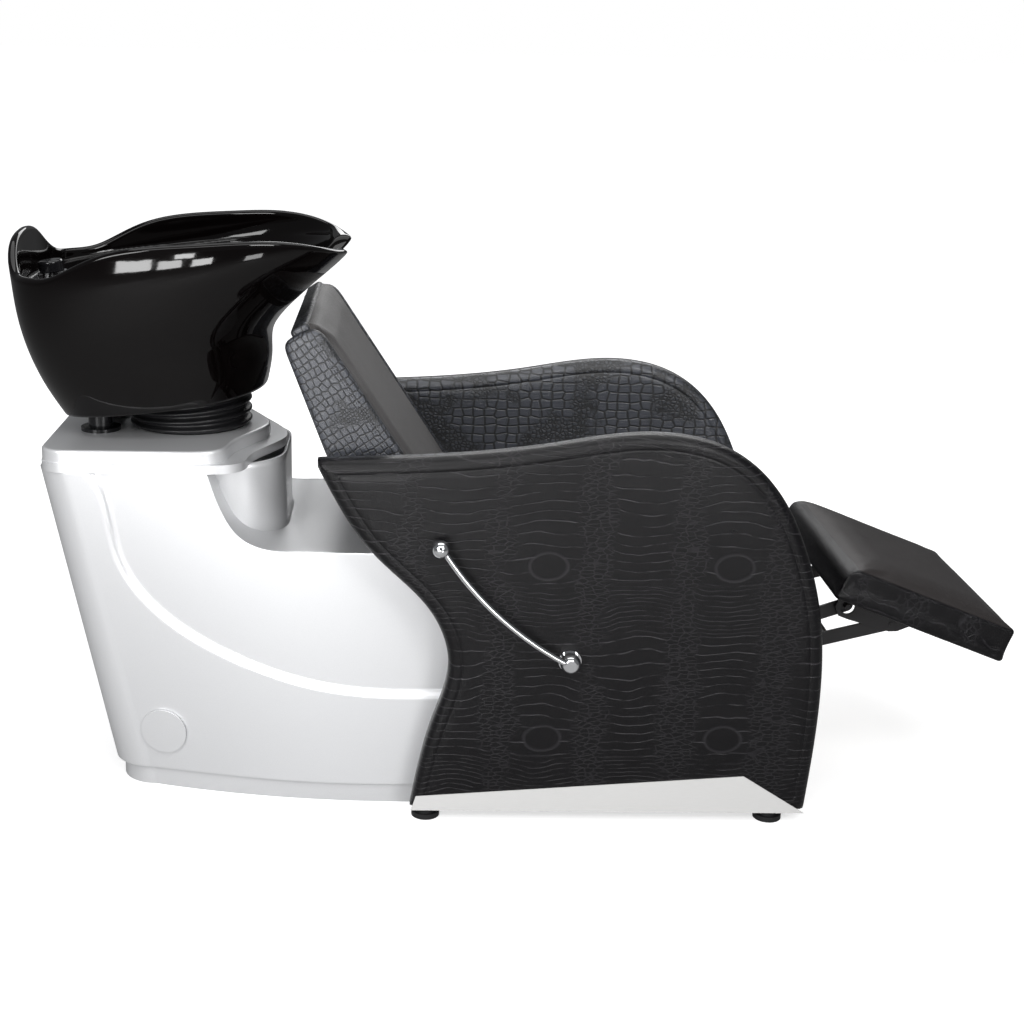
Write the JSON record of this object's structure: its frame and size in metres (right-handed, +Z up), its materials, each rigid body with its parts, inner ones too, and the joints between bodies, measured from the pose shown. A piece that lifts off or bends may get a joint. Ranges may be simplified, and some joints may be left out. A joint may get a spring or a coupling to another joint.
{
  "type": "shampoo backwash unit",
  "caption": "Salon backwash unit: padded chair with lever-operated footrest, raked backrest and a tilting black ceramic basin on a moulded silver pedestal.",
  "frame": {"origin": "floor level on the centre plane, at the floor bolt hole under the middle cross tube, halfway along the unit with the footrest out", "axes": "+X from the basin to the footrest, +Y away from the lever side, +Z up"},
  "size_m": [1.7364, 0.6908, 0.9617],
  "materials": {
    "embossed_leather": "semi-gloss embossed",
    "smooth_leather": "satin, fine grain",
    "silver_shell": "metallic silver, semi-gloss",
    "black_ceramic": "high gloss glaze",
    "chrome": "polished",
    "stainless": "brushed",
    "frame_steel": "satin black",
    "zinc_steel": "zinc plated",
    "rubber": "matte",
    "black_plastic": "matte",
    "gloss_black": "gloss",
    "plywood": "raw",
    "white_plastic": "gloss",
    "grey_hose": "matte",
    "braided_hose": "braided",
    "brass_fitting": "plated"
  },
  "bodies": {
    "base": {"access_screws": "zinc_steel", "arm_pad_left": "embossed_leather", "arm_pad_right": "embossed_leather", "back_brackets": "frame_steel", "back_wing_left": "embossed_leather", "back_wing_right": "embossed_leather", "backrest_board": "plywood", "backrest_cushion": "smooth_leather", "base_frame": "frame_steel", "bellows": "rubber", "deck_collar": "silver_shell", "deck_plate": "silver_shell", "drain_hose": "grey_hose", "front_apron": "embossed_leather", "hinge_bracket": "zinc_steel", "kick_plate_left": "stainless", "kick_plate_right": "stainless", "levelling_feet": "black_plastic", "lever_bush": "chrome", "mechanism_plates": "frame_steel", "panel_bolts": "zinc_steel", "pedestal_plinth": "silver_shell", "pedestal_shell": "silver_shell", "pivot_pins": "zinc_steel", "rear_access_panel": "silver_shell", "seat_board": "plywood", "seat_cushion": "smooth_leather", "seat_frame": "frame_steel", "side_board_left": "plywood", "side_board_right": "plywood", "side_cap_left": "silver_shell", "side_cap_right": "silver_shell", "stop_valves": "brass_fitting", "supply_hose_cold": "braided_hose", "supply_hose_hot": "braided_hose", "tilt_pin": "zinc_steel", "tilt_stops": "gloss_black", "trap": "white_plastic"},
    "basin_body": {"basin": "black_ceramic", "basin_mount_plate": "zinc_steel", "waste_flange": "chrome", "tailpiece": "white_plastic", "tap_body": "chrome"},
    "strainer_body": {"strainer": "chrome"},
    "tap_knob_body": {"tap_knob": "black_plastic"},
    "lever": {"lever_shaft": "zinc_steel", "lever_hub": "chrome", "lever_rod": "chrome", "lever_ball": "chrome"},
    "drive_rod_body": {"drive_rod": "frame_steel"},
    "lower_rear": {"lower_rear_links": "frame_steel", "lower_elbow_pins": "zinc_steel"},
    "lower_front": {"lower_front_links": "frame_steel"},
    "upper_rear": {"upper_rear_links": "frame_steel", "upper_elbow_pins": "zinc_steel"},
    "upper_front": {"upper_front_links": "frame_steel", "upper_end_pins": "zinc_steel"},
    "footrest": {"footrest_board": "plywood", "footrest_cushion": "smooth_leather", "footrest_brackets": "frame_steel"}
  },
  "joints": [
    {"name": "footrest_fold", "type": "hinge", "parent": "base", "child": "lower_rear", "pos_m": [0.33, 0, 0.29], "axis": [0, 1, 0], "range_deg": [0, 51.15]},
    {"name": "lower_elbow", "type": "hinge", "parent": "lower_rear", "child": "lower_front", "pos_m": [0.5026, 0, 0.2611], "axis": [0, 1, 0], "range_deg": [-95.96, 0]},
    {"name": "footrest_pivot", "type": "hinge", "parent": "lower_front", "child": "footrest", "pos_m": [0.672, 0, 0.305], "axis": [0, 1, 0], "range_deg": [0, 108.82]},
    {"name": "upper_swing", "type": "hinge", "parent": "base", "child": "upper_rear", "pos_m": [0.34, 0, 0.335], "axis": [0, 1, 0], "range_deg": [0, 19.97]},
    {"name": "upper_elbow", "type": "hinge", "parent": "upper_rear", "child": "upper_front", "pos_m": [0.46601, 0, 0.29244], "axis": [0, 1, 0], "range_deg": [-66.99, 0]},
    {"name": "lever_swing", "type": "hinge", "parent": "base", "child": "lever", "pos_m": [0.093, -0.33, 0.295], "axis": [0, 1, 0], "range_deg": [0, 51.15]},
    {"name": "drive_rod_pivot", "type": "hinge", "parent": "lever", "child": "drive_rod_body", "pos_m": [0.03662, -0.101, 0.27448], "axis": [0, 1, 0], "range_deg": [-51.15, 0]},
    {"name": "basin_tilt", "type": "hinge", "parent": "base", "child": "basin_body", "pos_m": [-0.512, 0, 0.652], "axis": [0, 1, 0], "range_deg": [0, 4.5], "deforming": ["bellows", "drain_hose", "supply_hose_hot", "supply_hose_cold"]},
    {"name": "tap_turn", "type": "hinge", "parent": "basin_body", "child": "tap_knob_body", "pos_m": [-0.79137, -0.02, 0.87919], "axis": [-0.1219, 0, 0.9925], "range_deg": [-60, 60]},
    {"name": "strainer_lift", "type": "slide", "parent": "basin_body", "child": "strainer_body", "axis": [-0.1219, 0, 0.9925], "range_m": [0, 0.05]}
  ],
  "couplings": [
    {"joint": "lower_elbow", "follows": "footrest_fold", "ratio": -1.8762},
    {"joint": "footrest_pivot", "follows": "footrest_fold", "ratio": 2.1275},
    {"joint": "upper_swing", "follows": "footrest_fold", "ratio": 0.3903},
    {"joint": "upper_elbow", "follows": "footrest_fold", "ratio": -1.3097},
    {"joint": "lever_swing", "follows": "footrest_fold", "ratio": 1},
    {"joint": "drive_rod_pivot", "follows": "footrest_fold", "ratio": -1}
  ]
}
